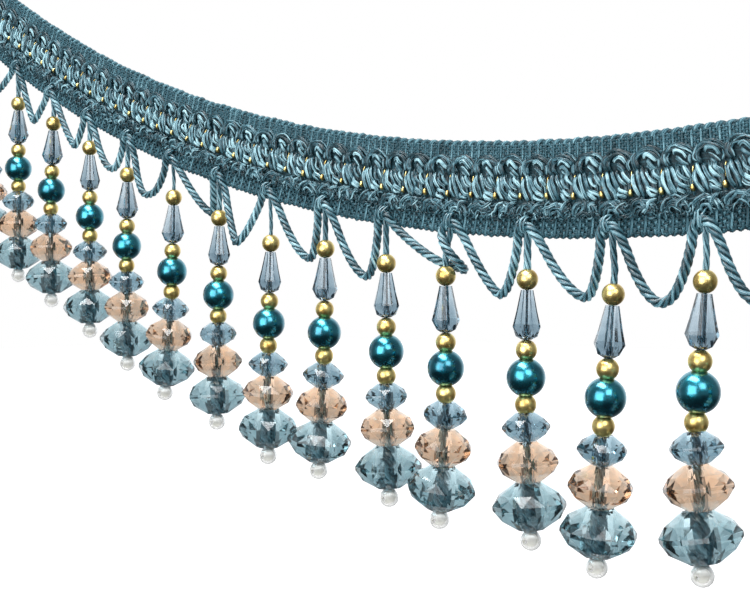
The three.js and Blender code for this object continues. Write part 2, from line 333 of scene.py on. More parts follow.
# Satin yarn: long filaments along its uv in the colour and the bump, and the tone of each strand.
def yarnMaterial(name, look):
    material, tree, shader = newMaterial(name)
    link = tree.links.new
    uv = addNode(tree, "ShaderNodeUVMap", {"uv_map": "yarn"})
    stretch = addNode(tree, "ShaderNodeMapping")
    setSockets(stretch, {"Scale": (look["across"], look["along"], 1), "Rotation": (0, 0, look["slant"])})
    link(uv.outputs["UV"], stretch.inputs["Vector"])
    filaments = addNode(tree, "ShaderNodeTexNoise", Scale=1.0, Detail=3.0, Roughness=0.6)
    link(stretch.outputs["Vector"], filaments.inputs["Vector"])
    patches = objectNoise(tree, look["patches"], 2.0)
    tone = addNode(tree, "ShaderNodeAttribute", {"attribute_name": "tone"})
    blend = addShare(tree, filaments.outputs["Fac"], look["filamentShare"], tone.outputs["Fac"])
    blend = addShare(tree, patches.outputs["Fac"], look["patchShare"], blend)
    shift = addNode(tree, "ShaderNodeMath", {"operation": "SUBTRACT"})
    shift.inputs[1].default_value = (look["filamentShare"] + look["patchShare"]) / 2
    link(blend, shift.inputs[0])
    stops = [(position, look[part]) for part, position in toneStops.items()]
    colourBy(tree, shader, shift.outputs["Value"], stops)
    roughBy(tree, shader, filaments, look["rough"])
    bumpBy(tree, shader, filaments, look["bump"])
    setSockets(shader, {
        "Sheen Weight": look["sheen"], "Sheen Roughness": 0.4, "Specular IOR Level": look["gloss"],
    })
    return material


yarnLook = {
    "dark": sameColour(4, 38, 46),
    "mid": sameColour(47, 89, 102),
    "light": sameColour(112, 152, 163),
    # painted highlight: the pale colour at the top of the tone ramp
    "paintedHighlight": sameColour(146, 184, 193),
    "across": 2.6,
    "along": 0.35,
    "slant": 0.25,
    "filamentShare": 1.5,
    "patches": 620.0,
    "patchShare": 1.1,
    "rough": (0.3, 0.5),
    "bump": 0.8,
    "sheen": 0.04,
    "gloss": 0.7,
}
braidYarn = yarnMaterial("braidYarn", {
    **yarnLook, "sheen": 0.0, "rough": (0.4, 0.65), "gloss": 0.4, "patches": 260.0, "patchShare": 0.45,
})
scrollYarn = yarnMaterial("scrollYarn", yarnLook)
plaitYarn = yarnMaterial("plaitYarn", {**yarnLook, "rough": (0.24, 0.42), "gloss": 0.8})
cordYarn = yarnMaterial("cordYarn", {
    **yarnLook, "across": 3.2, "patches": 120.0, "filamentShare": 1.7, "rough": (0.22, 0.38), "gloss": 0.9,
})


# Gold metal: small dents in the bump, and a colour that goes from pale to olive in patches.
def metalMaterial(name, look):
    material, tree, shader = newMaterial(name)
    patches = objectNoise(tree, look["patches"], 3.0)
    dents = objectNoise(tree, look["dents"], 2.0)
    colourBy(tree, shader, patches.outputs["Fac"], [(0.3, look["dark"]), (0.6, look["light"])])
    roughBy(tree, shader, dents, look["rough"])
    bumpBy(tree, shader, dents, look["bump"])
    setSockets(shader, {"Metallic": look["metal"], "Coat Weight": look["coat"], "Coat Roughness": 0.16})
    return material


goldMetal = metalMaterial("goldMetal", {
    "dark": sameColour(206, 168, 92),
    "light": sameColour(248, 226, 150),
    "patches": 400.0,
    "dents": 520.0,
    "rough": (0.28, 0.42),
    "bump": 0.8,
    "metal": 1.0,
    "coat": 0.0,
})
pearlLacquer = metalMaterial("pearlLacquer", {
    "dark": sameColour(0, 94, 116),
    "light": sameColour(36, 146, 166),
    "patches": 260.0,
    "dents": 420.0,
    "rough": (0.18, 0.34),
    "bump": 0.8,
    "metal": 1.0,
    "coat": 1.0,
})


# Clear moulded acrylic: a tint that runs in faint streaks, a slightly uneven polish, and a colour that
# deepens with the way the light goes through it.
def clearMaterial(name, look):
    material, tree, shader = newMaterial(name)
    streaks = objectNoise(tree, look["streaks"], 3.0)
    colourBy(tree, shader, streaks.outputs["Fac"], [(0.35, look["dark"]), (0.65, look["light"])])
    bumpBy(tree, shader, streaks, look["bump"])
    setSockets(shader, {"Transmission Weight": look["clear"], "Roughness": look["rough"], "IOR": 1.49})
    inside = addNode(tree, "ShaderNodeVolumeAbsorption", Color=(*look["deep"], 1), Density=look["density"])
    tree.links.new(inside.outputs["Volume"], tree.nodes["Material Output"].inputs["Volume"])
    return material


# dark and light tint the surface, and deep is what stays of white light after a long way through
clearLook = {
    "dark": sameColour(206, 214, 222),
    "light": sameColour(236, 240, 244),
    "streaks": 320.0,
    "bump": 0.03,
    "rough": 0.08,
    "clear": 1.0,
}
greyBlueClear = clearMaterial("greyBlueClear", {**clearLook, "deep": (0.36, 0.50, 0.56), "density": 310.0})
blueClear = clearMaterial("blueClear", {**clearLook, "deep": (0.16, 0.42, 0.50), "density": 140.0})
peachClear = clearMaterial("peachClear", {
    **clearLook, "light": sameColour(250, 238, 228), "deep": (0.74, 0.51, 0.27), "density": 105.0,
})
tealClear = clearMaterial("tealClear", {
    **clearLook, "dark": sameColour(196, 206, 210), "light": sameColour(232, 236, 238),
    "deep": (0.12, 0.42, 0.48), "density": 72.0,
})
plainClear = clearMaterial("plainClear", {
    **clearLook, "dark": sameColour(232, 232, 228), "light": sameColour(246, 246, 244), "rough": 0.3,
    "clear": 0.7, "deep": (0.9, 0.9, 0.88), "density": 20.0,
})
print("stage: materials made")

# The braid: its plain woven ground, one closed sheet
ground = {
    "step": 0.9,
    "thick": 0.62,
    "edge": 0.09,
    "low": -0.8,
    "high": 23.0,
    "rows": 28,
    "relief": 0.13,
    "tone": 0.42,
    "toneRelief": 0.2,
    # where the painted shade on the ground behind the worked rows begins and ends
    "workedLow": 2.6,
    "workedHigh": 18.8,
}


# A closed sheet: for each distance along, the outline goes up the back and down the front. Half its
# thickness is thick * sqrt(1 - (2 h - 1)^6) + edge, h being the height as a share. The weave adds a checked
# relief, and the tone follows the same check. On the front, the ground behind the worked rows is painted
# dark: painted shade where the rows stand over it.
def braidGround():
    columns = int(trimLength / ground["step"])
    along = np.linspace(trimStart, -trimStart, columns)[:, None]
    share = np.linspace(0, 1, ground["rows"])
    outline = np.concatenate([share, share[::-1]])[None, :]
    facing = np.repeat([1.0, -1.0], ground["rows"])[None, :]
    up = ground["low"] + outline * (ground["high"] - ground["low"])
    half = ground["thick"] * np.sqrt(np.maximum(0, 1 - (2 * outline - 1) ** 6)) + ground["edge"]
    checked = np.cos(math.pi * np.arange(columns))[:, None] * np.cos(math.pi * np.arange(2 * ground["rows"]))
    points = onSwag(along, facing * (half + ground["relief"] * checked), up)
    u = np.broadcast_to(along, checked.shape)
    v = np.broadcast_to(up, checked.shape)
    uv = np.stack([v, u], -1)
    uv = np.concatenate([uv, uv[:, :1]], 1)
    # Painted shade: on the front, the ground behind the worked rows gets tone 0
    worked = (up > ground["workedLow"]) & (up < ground["workedHigh"]) & (facing < 0)
    tone = np.where(worked, 0.0, ground["tone"] + ground["toneRelief"] * checked * facing)
    return {"points": points[None], "uv": uv[None], "tone": tone[None]}


braidCloth = addPiece("braidCloth", [braidGround()], braidYarn)
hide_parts("braid")

# The flat band under the top edge and the margin along the bottom: upright yarns that pass behind and in
# front of a few lengthwise ones, and one in every inFront of them stays in front. tone is that of the
# upright yarns, of those in front, of the lengthwise ones, and its spread.
band = {
    "pitch": rowRepeat / 10,
    "low": 18.0,
    "high": 22.3,
    "rows": 6,
    "yarn": 0.29,
    "wave": 0.26,
    "front": -0.74,
    "inFront": 3,
    "lean": 0.0,
    "tone": (0.44, 0.5, 0.16, 0.12),
}
margin = {
    "pitch": rowRepeat / 9,
    "low": -0.7,
    "high": 3.9,
    "rows": 5,
    "yarn": 0.38,
    "wave": 0.34,
    "front": -0.85,
    "inFront": 4,
    "lean": 0.5,
    "tone": (0.4, 0.44, 0.1, 0.14),
}
weaving = {
    "sway": 0.05, "bend": 0.06, "ahead": 0.9, "toneLimits": (-0.2, 0.12), "sides": 5, "stepsPerYarn": 3,
}


# An upright yarn is at front - wave * cos(pi * (rows * share + its number)), share being how far up it is,
# and a lengthwise one at front - wave * cos(pi * (distance / pitch - 1/2)), turned over in every other row.
def weave(place):
    count = int(round(trimLength / place["pitch"]))
    number = np.arange(count)
    upright, ahead, lengthwise, spread = place["tone"]
    along = trimStart + (number + 0.5) * place["pitch"]
    share = np.linspace(0, 1, 2 * place["rows"] + 1)
    up = place["low"] + share * (place["high"] - place["low"])
    over = np.cos(math.pi * (share * place["rows"])[None, :] + math.pi * number[:, None])
    raised = number % place["inFront"] == 0
    back = place["front"] - place["wave"] * np.where(raised[:, None], weaving["ahead"], over)
    sway = randomDraw.normal(0, weaving["sway"], (count, 1)) + weaving["bend"] * np.sin(6 * share)
    sway = sway + place["lean"] * share
    lines = onSwag(along[:, None] + sway, back, up[None, :])
    shade = np.clip(randomDraw.normal(0, spread, count), *weaving["toneLimits"])
    tone = np.where(raised, ahead, upright) + shade
    radius = np.full(count, place["yarn"])
    weft = tubes(lines, tipped(radius, lines.shape[1], (0.7,)), weaving["sides"], tone=tone[:, None, None])
    rowShare = (np.arange(place["rows"]) + 0.5) / place["rows"]
    rowUp = place["low"] + rowShare * (place["high"] - place["low"])
    steps = np.linspace(trimStart, -trimStart, count * weaving["stepsPerYarn"])
    wave = np.cos(math.pi * (steps - trimStart) / place["pitch"] - math.pi / 2)
    wave = wave[None, :] * np.where(np.arange(place["rows"]) % 2, -1, 1)[:, None]
    lines = onSwag(steps[None, :], place["front"] - place["wave"] * wave, rowUp[:, None])
    warp = tubes(lines, place["yarn"], weaving["sides"], reference=(0, 0, 1), tone=lengthwise)
    return [weft, warp]


bandYarns = addPiece("bandYarns", weave(band), braidYarn)
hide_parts("braid")
marginYarns = addPiece("marginYarns", weave(margin), braidYarn)
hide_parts("fringe")

# The two edges are whipped: a bundle of yarns is wound round a core, so the bundles stand out as small
# bumps. rise is how far each yarn's centre is outside the core.
edges = {
    "top": {"up": 22.62, "back": -0.25, "core": 0.5, "lay": rowRepeat / 3, "tone": (0.1, 0.36, 0.7, 0.45)},
    # The bottom edge's tones are lower than the top edge's: painted shade under the braid
    "bottom": {"up": -0.62, "back": -0.3, "core": 0.36, "lay": rowRepeat / 4, "tone": (0.0, 0.15, 0.4, 0.2)},
    "yarn": 0.3,
    "starts": (0.0, 1.15, 2.3, 3.45),
    "rise": (-0.15, 0.1, 0.2, 0.02),
    # painted shade: how much darker the whipped yarns turn towards the edge's core
    "paintedGrooveShade": 0.35,
    "step": 0.35,
    "knots": 160,
    "wander": 0.08,
    "swell": (0.8, 1.2),
}


# Each yarn winds round the edge's line at (core + its rise) * swell. The line's height wanders, and swell
# changes, smoothly from knot to knot.
def whippedEdge(place):
    steps = np.linspace(trimStart, -trimStart, int(trimLength / edges["step"]))
    knots = np.linspace(trimStart, -trimStart, edges["knots"])
    wander = np.interp(steps, knots, randomDraw.normal(0, edges["wander"], edges["knots"]))
    swell = np.interp(steps, knots, randomDraw.uniform(*edges["swell"], edges["knots"]))
    line = onSwag(steps, place["back"], place["up"] + wander)
    made = [tubes(line[None, ::4], place["core"], 8, tone=0.1)]
    paintedGrooveShade = edges["paintedGrooveShade"]
    for start, rise, tone in zip(edges["starts"], edges["rise"], place["tone"]):
        reach = (place["core"] + rise) * swell
        made.append(plies(line, [start], place["lay"], reach, edges["yarn"], 5, tone=tone, paintedGrooveShade=paintedGrooveShade))
    return made


edgeCords = addPiece("edgeCords", whippedEdge(edges["top"]) + whippedEdge(edges["bottom"]), braidYarn)
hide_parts("braid", "fringe")
print("stage: braid ground, band, margin and edges made")

# The worked rows. Each strand is (points, radius, tone), a point being how far along from the repeat's gold
# gap, how far in front of the ground, and how high above the lower edge.
rowPhase = 6.55  # from a drop to the next gold gap
upperScroll = {
    "light": [
        ([(3.4, 1.0, 16.9), (4.2, 1.8, 17.6), (5.4, 2.1, 17.7), (6.4, 1.9, 17.0), (6.9, 1.2, 16.0)],
         0.42, 0.85),
        ([(4.2, 1.2, 16.3), (5.1, 1.7, 16.1), (6.0, 1.6, 15.3), (6.8, 0.9, 14.2)], 0.42, 0.5),
        ([(4.4, 0.9, 15.4), (5.2, 1.3, 14.9), (6.0, 1.1, 14.2)], 0.36, 0.3),
        ([(7.4, 0.7, 17.0), (7.7, 1.1, 15.8), (7.6, 0.9, 14.6)], 0.4, 0.4),
        ([(1.2, 0.6, 18.6), (0.6, 1.0, 17.2), (0.6, 1.1, 15.9), (1.2, 0.7, 14.6)], 0.45, 0.26),
        ([(2.0, 0.5, 18.2), (1.5, 0.9, 17.0), (1.6, 1.0, 15.8), (2.1, 0.7, 14.8)], 0.5, 0.14),
    ],
    "arch": ([(2.2, 0.5, 14.8), (1.4, 0.9, 16.3), (1.9, 1.1, 17.7), (3.3, 1.2, 18.4), (5.2, 1.2, 18.4),
              (7.1, 1.0, 17.5), (7.8, 0.6, 16.2)], 0.46),
    "archCentre": (4.3, 0.0, 15.2),
    "archSteps": (-0.2, 0.4, 1.0),
    "archTones": (0.12, 0.26, 0.2),
}
lowerScroll = {
    "light": [
        ([(0.0, 1.0, 4.2), (0.6, 1.7, 5.5), (1.7, 2.0, 6.8), (3.2, 1.2, 7.6)], 0.42, 0.42),
        ([(3.9, 1.1, 4.4), (4.5, 1.7, 5.5), (5.4, 1.7, 6.7), (6.7, 1.1, 7.4)], 0.42, 0.5),
        ([(2.6, 1.2, 7.4), (3.7, 1.6, 6.8), (4.3, 1.4, 5.6), (4.3, 0.9, 4.4)], 0.4, 0.35),
    ],
    "arch": ([(0.4, 0.5, 3.4), (0.7, 1.0, 4.9), (1.6, 1.2, 6.3), (3.2, 1.2, 7.0), (5.0, 1.2, 6.6),
              (6.3, 0.9, 5.4), (6.9, 0.5, 3.8)], 0.46),
    "archCentre": (3.6, 0.0, 3.4),
    "archSteps": (-1.7, -0.9, -0.2, 0.4),
    "archTones": (0.3, 0.2, 0.4, 0.3),
}
centrePlait = {
    "long": [
        ([(0.5, 0.9, 13.6), (0.8, 1.4, 12.0), (1.4, 1.5, 10.2), (2.4, 0.8, 8.2)], 0.48, 0.66),
        ([(1.3, 0.8, 14.5), (2.1, 1.6, 12.9), (2.9, 1.7, 11.0), (3.5, 1.0, 9.2), (3.6, 0.6, 8.1)],
         0.48, 0.56),
        ([(2.5, 0.8, 14.4), (3.4, 1.5, 12.9), (4.4, 1.5, 11.3), (5.0, 0.9, 10.2)], 0.4, 0.5),
    ],
    "short": [
        ([(4.3, 0.8, 13.7), (5.0, 1.4, 12.6), (5.8, 1.4, 11.7), (6.9, 0.8, 11.0)], 0.4, 0.6),
        ([(5.7, 0.8, 14.5), (6.5, 1.6, 13.4), (7.3, 1.5, 12.3), (7.8, 0.8, 11.5)], 0.46, 0.78),
        ([(4.3, 0.9, 10.7), (5.4, 1.5, 10.1), (6.5, 1.4, 9.5), (7.4, 0.8, 9.1)], 0.44, 0.75),
        ([(4.1, 0.7, 9.7), (5.0, 1.4, 9.0), (6.0, 1.3, 8.4), (6.8, 0.7, 8.1)], 0.42, 0.75),
    ],
    "filling": ([(0.0, 0.1, 15.0), (0.7, 0.45, 13.0), (1.3, 0.45, 10.4), (1.9, 0.1, 7.8)], 0.5, 0.22),
    "fillingPlaces": (0.9, 2.2, 3.6, 5.0, 6.2),
}
groundFront = -0.75


# One strand of a row in every repeat: its points, shifted a little each time, and a smooth line through
# them. A strand is a bundle of thin yarns side by side, set off square to its own direction. One that the
# braid's ends would squeeze to less than the kept share of its length is left out.
bundle = {
    "yarns": 3,
    "apart": 0.6,
    "droop": 0.35,
    "thin": 0.46,
    "wobble": 0.06,
    "radiusSpread": (0.85, 1.15),
    "toneSpread": 0.26,
    "endGap": 0.3,
    "keptShare": 0.3,
    "rings": 9,
    "sides": 5,
}


def rowStrand(strand, wobble, yarns=bundle["yarns"]):
    points, radius, tone = strand
    points = np.array(points, float)[None] + randomDraw.normal(0, wobble, (repeats + 2, len(points), 3))
    direction = np.gradient(points, axis=1)
    sideways = unit(np.stack([-direction[..., 2], 0 * direction[..., 1], direction[..., 0]], -1))
    offset = (np.arange(yarns) - (yarns - 1) / 2)[:, None, None, None] * radius * bundle["apart"]
    points = points[None] + offset * sideways[None] - np.abs(offset) * np.array([0, bundle["droop"], 0])
    if yarns > 1:
        points = points + randomDraw.normal(0, bundle["wobble"], points.shape)
        radius = radius * bundle["thin"]
    points = points.reshape(-1, *points.shape[2:])
    starts = trimStart + rowPhase - swag["pitch"] / 2 + (np.arange(repeats + 2) - 1) * rowRepeat
    reach = -trimStart - bundle["endGap"]
    along = np.clip(np.tile(starts, yarns)[:, None] + points[..., 0], -reach, reach)
    lines = smoothLine(onSwag(along, groundFront - points[..., 1], points[..., 2]), bundle["rings"])
    kept = np.ptp(along, axis=1) > bundle["keptShare"] * np.ptp(points[..., 0], axis=1)
    lines = lines[kept]
    radius = radius * randomDraw.uniform(*bundle["radiusSpread"], len(lines))
    tone = tone + randomDraw.normal(0, bundle["toneSpread"], len(lines))
    return tubes(lines, tipped(radius, bundle["rings"]), bundle["sides"], tone=tone[:, None, None])


# Short ends and strays of yarn lying over a row: each is a shallow bow at a slope of its own, as thick as
# fibreSize says, and stands in front of the ground by the row's front.
fibreSize = {
    "length": (1.1, 2.6),
    "radius": (0.16, 0.28),
    "bow": 0.4,
    "lift": 0.25,
    "upShare": 0.8,
    "endGap": 2.0,
    "rings": 5,
}


def looseFibres(row):
    count = row["count"]
    share = np.linspace(-0.5, 0.5, fibreSize["rings"])[None, :]
    slope = randomDraw.normal(*row["slope"], (count, 1))
    length = randomDraw.uniform(*fibreSize["length"], (count, 1))
    bow = randomDraw.normal(0, fibreSize["bow"], (count, 1)) * np.cos(math.pi * share)
    reach = -trimStart - fibreSize["endGap"]
    along = randomDraw.uniform(-reach, reach, (count, 1))
    up = randomDraw.uniform(row["low"], row["high"], (count, 1))
    along = along + share * length * np.cos(slope) - bow * np.sin(slope)
    up = up + (share * length * np.sin(slope) + bow * np.cos(slope)) * fibreSize["upShare"]
    front = randomDraw.uniform(*row["front"], (count, 1)) + fibreSize["lift"] * np.cos(math.pi * share)
    lines = onSwag(along, groundFront - front, up)
    radius = randomDraw.uniform(*fibreSize["radius"], count)
    tone = randomDraw.normal(*row["tone"], count)
    return tubes(lines, tipped(radius, fibreSize["rings"], (0.6,)), 4, tone=tone[:, None, None])


archSink = 0.3


# Arches side by side round one centre, the outer ones lower on the ground by archSink of their step.
def nestedArches(scroll):
    points, radius = scroll["arch"]
    points = np.array(points, float)
    outward = unit((points - scroll["archCentre"]) * [1, 0, 1])
    return [
        (points + outward * step - np.array([0, archSink * step, 0]), radius, tone)
        for step, tone in zip(scroll["archSteps"], scroll["archTones"])
    ]


upperStrands = [rowStrand(s, 0.14) for s in upperScroll["light"]]
upperStrands += [rowStrand(s, 0.22, yarns=2) for s in nestedArches(upperScroll)]
upperRow = addPiece("upperScrollRow", upperStrands, scrollYarn)
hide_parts("scroll_upper")

lowerFibres = {
    "count": 2300,
    "low": 3.3,
    "high": 7.4,
    "slope": (0.8, 0.6),
    "front": (0.3, 1.3),
    "tone": (0.22, 0.24),
}
lowerStrands = [rowStrand(s, 0.25) for s in lowerScroll["light"]]
lowerStrands += [rowStrand(s, 0.25, yarns=2) for s in nestedArches(lowerScroll)]
lowerRow = addPiece("lowerScrollRow", lowerStrands + [looseFibres(lowerFibres)], scrollYarn)
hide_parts("scroll_lower")


def plaitFilling(plait):
    points, radius, tone = plait["filling"]
    return [(np.array(points) + [place, 0, 0], radius, tone) for place in plait["fillingPlaces"]]


plaitStrands = centrePlait["long"] + centrePlait["short"] + plaitFilling(centrePlait)
plaitRow = addPiece("centrePlaitRow", [rowStrand(s, 0.15) for s in plaitStrands], plaitYarn)
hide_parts("centre_plait")

goldThread = {
    "upper": ([(0.0, 0.3, 14.4), (0.05, 0.8, 13.4), (-0.05, 0.5, 12.0), (-0.1, 0.4, 10.6)], 0.2, 0.5),
    "lower": ([(-0.15, 0.6, 9.9), (0.0, 1.15, 9.4), (0.15, 1.1, 8.8), (0.1, 0.5, 8.5)], 0.5, 0.5),
}
goldStrands = [rowStrand(s, 0.05, yarns=1) for s in goldThread.values()]
goldRow = addPiece("goldThread", goldStrands, goldMetal)
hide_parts("centre_plait")
print("stage: worked rows made")

# The looped cord: plies round a dark core, in an arch over each drop and a loop between two drops
cord = {
    "tones": (0.8, 0.5, 0.68, 0.42),
    "lay": 8.4,
    "reach": 0.74,
    "yarn": 0.54,
    # painted shade: how much darker the plies turn towards the cord's axis
    "paintedGrooveShade": 1.05,
    "step": 0.7,
    "core": 0.8,
    "archTop": 1.7,
    "archBack": -2.3,
    "shoulderTop": 0.55,
    "shoulderAlong": 0.75,
    "rootOut": 1.2,
}
archAlong = 0.9  # from a drop to the middle of its arch
rootAlong = 2.5  # from there to the root of a loop
# One row for each loop from the far end: where its lowest point lies between its drops, how far below the
# edge, how its far and near arms bend, and how far it swings back. None is the caught loop.
loops = [
    (0.42, 13.7, 1.4, 1.4, -1.0), (0.46, 14.7, 1.3, 1.3, 0.0), (0.72, 12.3, 1.3, 1.5, -2.0),
    (0.64, 12.7, 2.0, 2.2, -1.0), (0.48, 15.2, 2.6, 2.6, -1.0), (0.65, 13.1, 1.5, 1.6, 4.9),
    (0.5, 17.6, 1.3, 1.5, -3.5), (0.67, 16.1, 1.7, 2.4, 1.5), (0.63, 17.2, 1.7, 2.4, 1.5), None,
    (0.61, 16.3, 1.35, 2.2, 1.0), (0.66, 15.5, 1.6, 2.6, 1.5), (0.55, 16.5, 1.8, 2.4, 0.0),
    (0.55, 17.0, 2.0, 2.2, 0.0),
]
# The caught loop's points from the drop at its near end: along, back, down
caughtLoop = np.array([
    (-21.0, -1.2, 0.6), (-15.5, -0.4, 4.6), (-8.2, 0.5, 8.4), (-5.0, 2.2, 9.8), (-2.4, 4.0, 10.4),
    (0.7, 3.6, 11.0), (2.4, 1.0, 10.0), (1.8, -1.6, 8.0), (-1.0, -2.4, 4.8), (-2.6, -1.7, 2.0),
])


# Both arms of a loop fall from their roots as a power of the distance from the lowest point.
def loopPoints(index):
    start = dropAlong[index] + archAlong
    if loops[index] is None:
        near = dropAlong[index + 1]
        return belowEdge(near + caughtLoop[:, 0], caughtLoop[:, 1], caughtLoop[:, 2])
    at, depth, farBend, nearBend, swing = loops[index]
    lowest = belowEdge(dropAlong[index] + at * swag["pitch"], swing, depth)
    left = belowEdge(start + rootAlong, -cord["rootOut"], 0)
    right = belowEdge(start + swag["pitch"] - rootAlong, -cord["rootOut"], 0)
    share = np.array([-0.9, -0.65, -0.35, -0.12, 0, 0.12, 0.35, 0.65, 0.9])[:, None]
    root = np.where(share < 0, left, right)
    bend = np.where(share < 0, farBend, nearBend)
    points = lowest + (root - lowest) * np.abs(share)
    points[:, 2:] = lowest[:, 2:] + (root[:, 2:] - lowest[:, 2:]) * np.abs(share) ** bend
    return points


# The whole cord's line: over an arch at each drop and down round each loop.
def cordLine():
    back, top = cord["archBack"], cord["archTop"]
    shoulder = rootAlong * cord["shoulderAlong"]
    shoulderTop = top * cord["shoulderTop"]
    parts = []
    for index in range(swag["drops"]):
        middle = dropAlong[index] + archAlong
        if index > 0:
            parts.append(onSwag(middle - shoulder, back, shoulderTop))
        parts.append(onSwag(middle, back, top))
        if index < swag["drops"] - 1:
            parts.append(onSwag(middle + shoulder, back, shoulderTop))
            parts.append(loopPoints(index))
    points = np.concatenate(parts)
    length = np.linalg.norm(np.diff(points, axis=0), axis=1).sum()
    return smoothLine(points, int(length / cord["step"]))


loopReference = (0.15, 1.0, 0.6)  # never along the cord, not even where the caught loop turns back
cordPath = cordLine()
cordPlies = plies(
    cordPath, evenAngles(len(cord["tones"])), cord["lay"], cord["reach"], cord["yarn"], 8, loopReference,
    cord["tones"], cord["paintedGrooveShade"],
)
cordCore = tubes(cordPath, cord["reach"] * cord["core"], 6, loopReference, tone=0.0)
loopedCord = addPiece("loopedCord", [cordPlies, cordCore], cordYarn)
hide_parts("fringe")

# Thin stitches that hold each arch: out of its hollow, over it and up into the lower scrolls
stitches = [
    ([(-0.7, 0.6, 0.2), (-0.6, 2.6, 0.7), (-0.4, 3.2, 2.2), (-0.2, 2.4, 3.6), (0.1, 1.2, 4.3)], 0.3, 0.6),
    ([(0.3, 0.6, 0.3), (0.4, 2.6, 0.8), (0.5, 3.2, 2.3), (0.7, 2.2, 3.6), (0.9, 1.2, 4.2)], 0.3, 0.4),
    ([(-1.5, 0.6, 0.0), (-1.5, 2.6, 0.5), (-1.5, 3.0, 2.0), (-1.4, 2.0, 3.4), (-1.2, 1.1, 4.2)], 0.3, 0.35),
]
stitchWobble = 0.14


# A stitch over each arch: a smooth line through its points, shifted a little each time.
def archStitch(strand, rings=16, sides=6):
    points, radius, tone = strand
    points = np.array(points)[None] + randomDraw.normal(0, stitchWobble, (swag["drops"], len(points), 3))
    middle = dropAlong[:, None] + archAlong
    lines = onSwag(middle + points[..., 0], groundFront - points[..., 1], points[..., 2])
    return tubes(smoothLine(lines, rings), tipped(np.full(swag["drops"], radius), rings), sides, tone=tone)


anchorStitches = addPiece("anchorStitches", [archStitch(s) for s in stitches], cordYarn)
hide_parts("fringe")

# The bead drops. One row for each drop: free thread above it, how far its top is drawn aside, the lean of
# its upper and lower beads in degrees, and the radius of its free thread
drops = np.array([
    (9.0, 0.0, 0, 0, 0.9), (9.8, 0.0, 0, 0, 0.9), (7.3, 0.6, -3, 1, 0.9), (7.6, 0.0, 0, 0, 0.9),
    (9.4, -1.2, -1, 1, 0.9), (9.3, 0.6, -2, -6, 0.6), (9.7, 0.0, -1, -1, 0.9), (11.9, 0.4, -2, 0, 0.6),
    (8.9, 0.0, -1, -4, 0.85), (9.3, 0.0, 0, 2, 0.9), (10.1, -2.6, 0, -4, 0.9), (8.9, 0.0, -1, 3, 1.0),
    (11.7, 1.0, -5, -3, 0.85), (9.0, 0.5, -4, 3, 0.75), (10.0, 0.0, 0, 0, 0.9),
])
freeThread, aside, upperLean, lowerLean, threadRadius = drops.T
upperLean, lowerLean = np.radians(upperLean), np.radians(lowerLean)
hanger = belowEdge(dropAlong + aside, 0.0, freeThread)
heading = -onSwag(dropAlong + aside, 0.0, 0.0)[:, 0] / swag["bowRadius"]
lowerStart = 36.75  # where the rondelles begin, below the drop's top


# A point of a drop: side and front are off its thread, down is along it. The upper beads lean together, and
# the rondelles hang from them with a lean of their own. The first axis of every array is the drop.
def onDrops(side, front, down, lower):
    spread = (slice(None),) + (None,) * (side.ndim - 1)
    upper = upperLean[spread]
    lean = lowerLean[spread] if lower else upper
    rest = down - lowerStart if lower else down
    x = side * np.cos(lean) + rest * np.sin(lean)
    z = side * np.sin(lean) - rest * np.cos(lean)
    if lower:
        x = x + lowerStart * np.sin(upper)
        z = z - lowerStart * np.cos(upper)
    turn = heading[spread]
    y = x * np.sin(turn) + front * np.cos(turn)
    x = x * np.cos(turn) - front * np.sin(turn)
    return np.stack([x, y, z], -1) + hanger[spread + (slice(None),)]


# A bead with a bore on every drop: the profile (radius, down), from its foot up to its neck and back down
# the bore, is turned about the thread. Each bead has its own turn, and its points turn by the tilt about the
# front axis through its centre. A twist moves a ring by half a facet.
def beads(profile, sides, lower, twist=0.0, tilt=0.0):
    profile = np.asarray(profile, float)
    spin = randomDraw.uniform(0, 2 * math.pi, swag["drops"])[:, None, None]
    half = np.cumsum(np.broadcast_to(twist, len(profile))) * math.pi / sides
    angle = evenAngles(sides)[None, None, :] + spin + half[None, :, None]
    centre = (profile[:, 1].min() + profile[:, 1].max()) / 2
    side = profile[None, :, :1] * np.cos(angle)
    front = np.broadcast_to(profile[None, :, :1] * np.sin(angle), side.shape)
    down = np.broadcast_to(profile[None, :, 1:] - centre, side.shape)
    tilt = np.broadcast_to(np.radians(tilt), (swag["drops"],))[:, None, None]
    side, down = side * np.cos(tilt) + down * np.sin(tilt), down * np.cos(tilt) - side * np.sin(tilt)
    return {"points": onDrops(side, front, centre + down, lower)}


# The outline of a round bead with a bore, from foot to neck: radius * (sin, cos) of the angle.
def roundProfile(size, centre):
    radius, bore = size["radius"], size["bore"]
    least = math.asin(bore / radius)
    angle = np.linspace(math.pi - least, least, size["rings"])
    outer = np.stack([radius * np.sin(angle), centre - radius * np.cos(angle)], -1)
    return np.concatenate([outer, [[bore, centre]]])


beadSizes = {
    "gold": {"radius": 2.74, "centres": (2.85, 20.8, 34.6), "bore": 0.9, "rings": 13, "sides": 20},
    "pearl": {"radius": 5.0, "centres": (27.7,), "bore": 0.9, "rings": 19, "sides": 32},
    "teardrop": {
        "neck": 1.7, "widest": 3.8, "foot": 1.3, "top": 5.35, "belly": 14.8, "bottom": 18.1, "bore": 0.8,
    },
    "small": {"centre": 40.3, "radius": 6.1, "half": 3.6, "table": 2.5, "bore": 1.6, "tilt": 3.0},
    "peach": {"centre": 49.2, "radius": 7.9, "half": 5.2, "table": 2.8, "bore": 1.35, "tilt": 4.0},
    "large": {"centre": 60.2, "radius": 9.4, "half": 6.0, "table": 3.3, "bore": 2.9, "tilt": 5.0},
    "stopper": {"centre": 68.8, "radius": 2.7, "bore": 0.35, "rings": 11, "sides": 18},
}

